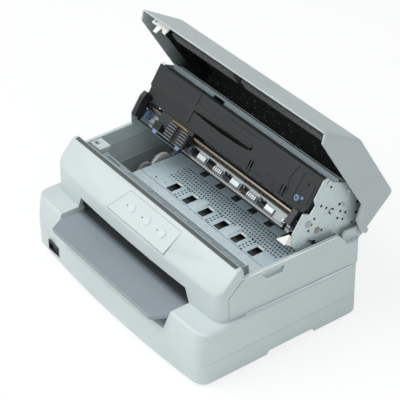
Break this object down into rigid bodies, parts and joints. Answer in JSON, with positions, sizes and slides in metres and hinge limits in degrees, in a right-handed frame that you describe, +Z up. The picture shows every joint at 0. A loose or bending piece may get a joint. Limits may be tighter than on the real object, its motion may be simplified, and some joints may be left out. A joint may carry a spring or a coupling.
{
  "type": "dot matrix printer",
  "caption": "flatbed dot matrix printer with its cover swung open and the print mechanism tilted up over a perforated paper table",
  "frame": {"origin": "on the desk, under the middle of the overall box of the open printer", "axes": "X to the printer's right as its user sees it, Y from its front to its rear, Z up"},
  "size_m": [0.384, 0.3218, 0.3012],
  "materials": {
    "case_plastic": "fine moulded texture, pale grey",
    "button_plastic": "smooth pale grey",
    "guide_plastic": "fine texture, mid grey",
    "galvanised_steel": "galvanised sheet",
    "bright_steel": "bright sheet",
    "plated_steel": "nickel plated",
    "brass_tone": "oiled, worn",
    "black_rubber": "matt",
    "foam": "open cells, speckled",
    "ink_cloth": "inked nylon",
    "dark_plastic": "fine texture, charcoal",
    "black_metal": "black coated",
    "motor_metal": "grey coated",
    "blue_grey_plastic": "slightly clear",
    "white_plastic": "smooth, off-white",
    "board": "solder mask",
    "lens": "clear green"
  },
  "bodies": {
    "base": {"lower_case": "case_plastic", "rubber_feet": "black_rubber", "base_plate": "galvanised_steel", "front_guide": "guide_plastic", "inner_guide": "guide_plastic", "side_housing": "case_plastic", "front_housing": "case_plastic", "edge_strip": "black_rubber", "control_plate": "case_plastic", "status_lenses": "lens", "latch_seats": "case_plastic", "front_rail": "galvanised_steel", "platen": "bright_steel", "paper_table": "galvanised_steel", "left_frame": "galvanised_steel", "right_frame": "galvanised_steel", "pivot_shaft": "plated_steel", "feed_motor": "motor_metal", "main_board": "board", "power_supply": "galvanised_steel", "rear_sockets": "dark_plastic", "power_inlet": "dark_plastic", "switch_bezel": "dark_plastic", "frame_screws": "plated_steel"},
    "cover": {"cover_shell": "case_plastic", "cover_foam": "foam", "cover_liner": "dark_plastic", "cover_hooks": "plated_steel", "hinge_pins": "plated_steel"},
    "mechanism": {"mech_left_plate": "galvanised_steel", "mech_right_plate": "galvanised_steel", "mech_top_bar": "bright_steel", "carriage_shaft": "brass_tone", "carriage_rail": "galvanised_steel", "pressure_strip": "bright_steel", "guide_tabs": "bright_steel", "corner_bracket": "white_plastic", "ribbon_case": "dark_plastic", "ribbon_cover": "dark_plastic", "ink_ribbon": "ink_cloth", "carriage_motor": "motor_metal", "timing_belt": "black_rubber"},
    "carriage_unit": {"carriage": "dark_plastic", "print_head": "black_metal", "ribbon_mask": "blue_grey_plastic"},
    "drive_wheel": {"drive_pulley": "white_plastic"},
    "idle_wheel": {"idler_pulley": "white_plastic"},
    "knob": {"ribbon_knob": "blue_grey_plastic"},
    "pinch_row": {"pinch_shaft": "plated_steel", "pinch_rollers": "black_rubber"},
    "front_feed": {"front_feed_shaft": "plated_steel", "front_feed_tyres": "black_rubber"},
    "rear_feed": {"rear_feed_shaft": "plated_steel", "rear_feed_tyres": "black_rubber"},
    "idler": {"idler_gear": "white_plastic"},
    "pinion": {"motor_pinion": "brass_tone"},
    "rocker": {"power_switch": "dark_plastic"},
    "button_a": {"left_button": "button_plastic"},
    "button_b": {"middle_button": "button_plastic"},
    "button_c": {"right_button": "button_plastic"}
  },
  "joints": [
    {"name": "cover_hinge", "type": "hinge", "parent": "base", "child": "cover", "pos_m": [0, 0.11907, 0.1255], "axis": [1, 0, 0], "range_deg": [0, 60]},
    {"name": "mechanism_tilt", "type": "hinge", "parent": "base", "child": "mechanism", "pos_m": [0, 0.10307, 0.091], "axis": [1, 0, 0], "range_deg": [0, 40]},
    {"name": "carriage_slide", "type": "slide", "parent": "mechanism", "child": "carriage_unit", "axis": [1, 0, 0], "range_m": [-0.03, 0.21]},
    {"name": "drive_pulley_spin", "type": "hinge", "parent": "mechanism", "child": "drive_wheel", "pos_m": [0.15, 0.08699, 0.14496], "axis": [0, 0.6428, 0.766], "range_deg": [-207, 1446]},
    {"name": "idler_pulley_spin", "type": "hinge", "parent": "mechanism", "child": "idle_wheel", "pos_m": [-0.15, 0.08699, 0.14496], "axis": [0, 0.6428, 0.766], "range_deg": [-207, 1446]},
    {"name": "ribbon_knob_spin", "type": "hinge", "parent": "mechanism", "child": "knob", "pos_m": [0.148, 0.04161, 0.18555], "axis": [0, -0.8339, 0.5519], "continuous": true},
    {"name": "pinch_spin", "type": "hinge", "parent": "mechanism", "child": "pinch_row", "pos_m": [0, 0.03437, 0.14075], "axis": [1, 0, 0], "continuous": true},
    {"name": "front_feed_spin", "type": "hinge", "parent": "base", "child": "front_feed", "pos_m": [0, 0.01847, 0.0689], "axis": [1, 0, 0], "continuous": true},
    {"name": "rear_feed_spin", "type": "hinge", "parent": "base", "child": "rear_feed", "pos_m": [0, 0.07447, 0.0689], "axis": [1, 0, 0], "continuous": true},
    {"name": "idler_gear_spin", "type": "hinge", "parent": "base", "child": "idler", "pos_m": [-0.1591, 0.04647, 0.0689], "axis": [1, 0, 0], "continuous": true},
    {"name": "motor_pinion_spin", "type": "hinge", "parent": "base", "child": "pinion", "pos_m": [-0.1591, 0.04647, 0.0459], "axis": [1, 0, 0], "continuous": true},
    {"name": "power_rocker", "type": "hinge", "parent": "base", "child": "rocker", "pos_m": [-0.139, -0.14249, 0.0205], "axis": [0, 0, 1], "range_deg": [0, 12]},
    {"name": "left_button_press", "type": "slide", "parent": "base", "child": "button_a", "axis": [0, 0.6019, -0.7986], "range_m": [0, 0.0012], "stiffness_N_per_m": 300},
    {"name": "middle_button_press", "type": "slide", "parent": "base", "child": "button_b", "axis": [0, 0.6019, -0.7986], "range_m": [0, 0.0012], "stiffness_N_per_m": 300},
    {"name": "right_button_press", "type": "slide", "parent": "base", "child": "button_c", "axis": [0, 0.6019, -0.7986], "range_m": [0, 0.0012], "stiffness_N_per_m": 300}
  ],
  "couplings": [
    {"joint": "mechanism_tilt", "follows": "cover_hinge", "ratio": 0.6666},
    {"joint": "drive_pulley_spin", "follows": "carriage_slide", "rad_per_m": 120},
    {"joint": "idler_pulley_spin", "follows": "carriage_slide", "rad_per_m": 120},
    {"joint": "rear_feed_spin", "follows": "front_feed_spin", "ratio": 1},
    {"joint": "idler_gear_spin", "follows": "front_feed_spin", "ratio": -0.75},
    {"joint": "motor_pinion_spin", "follows": "front_feed_spin", "ratio": 1.7143}
  ]
}
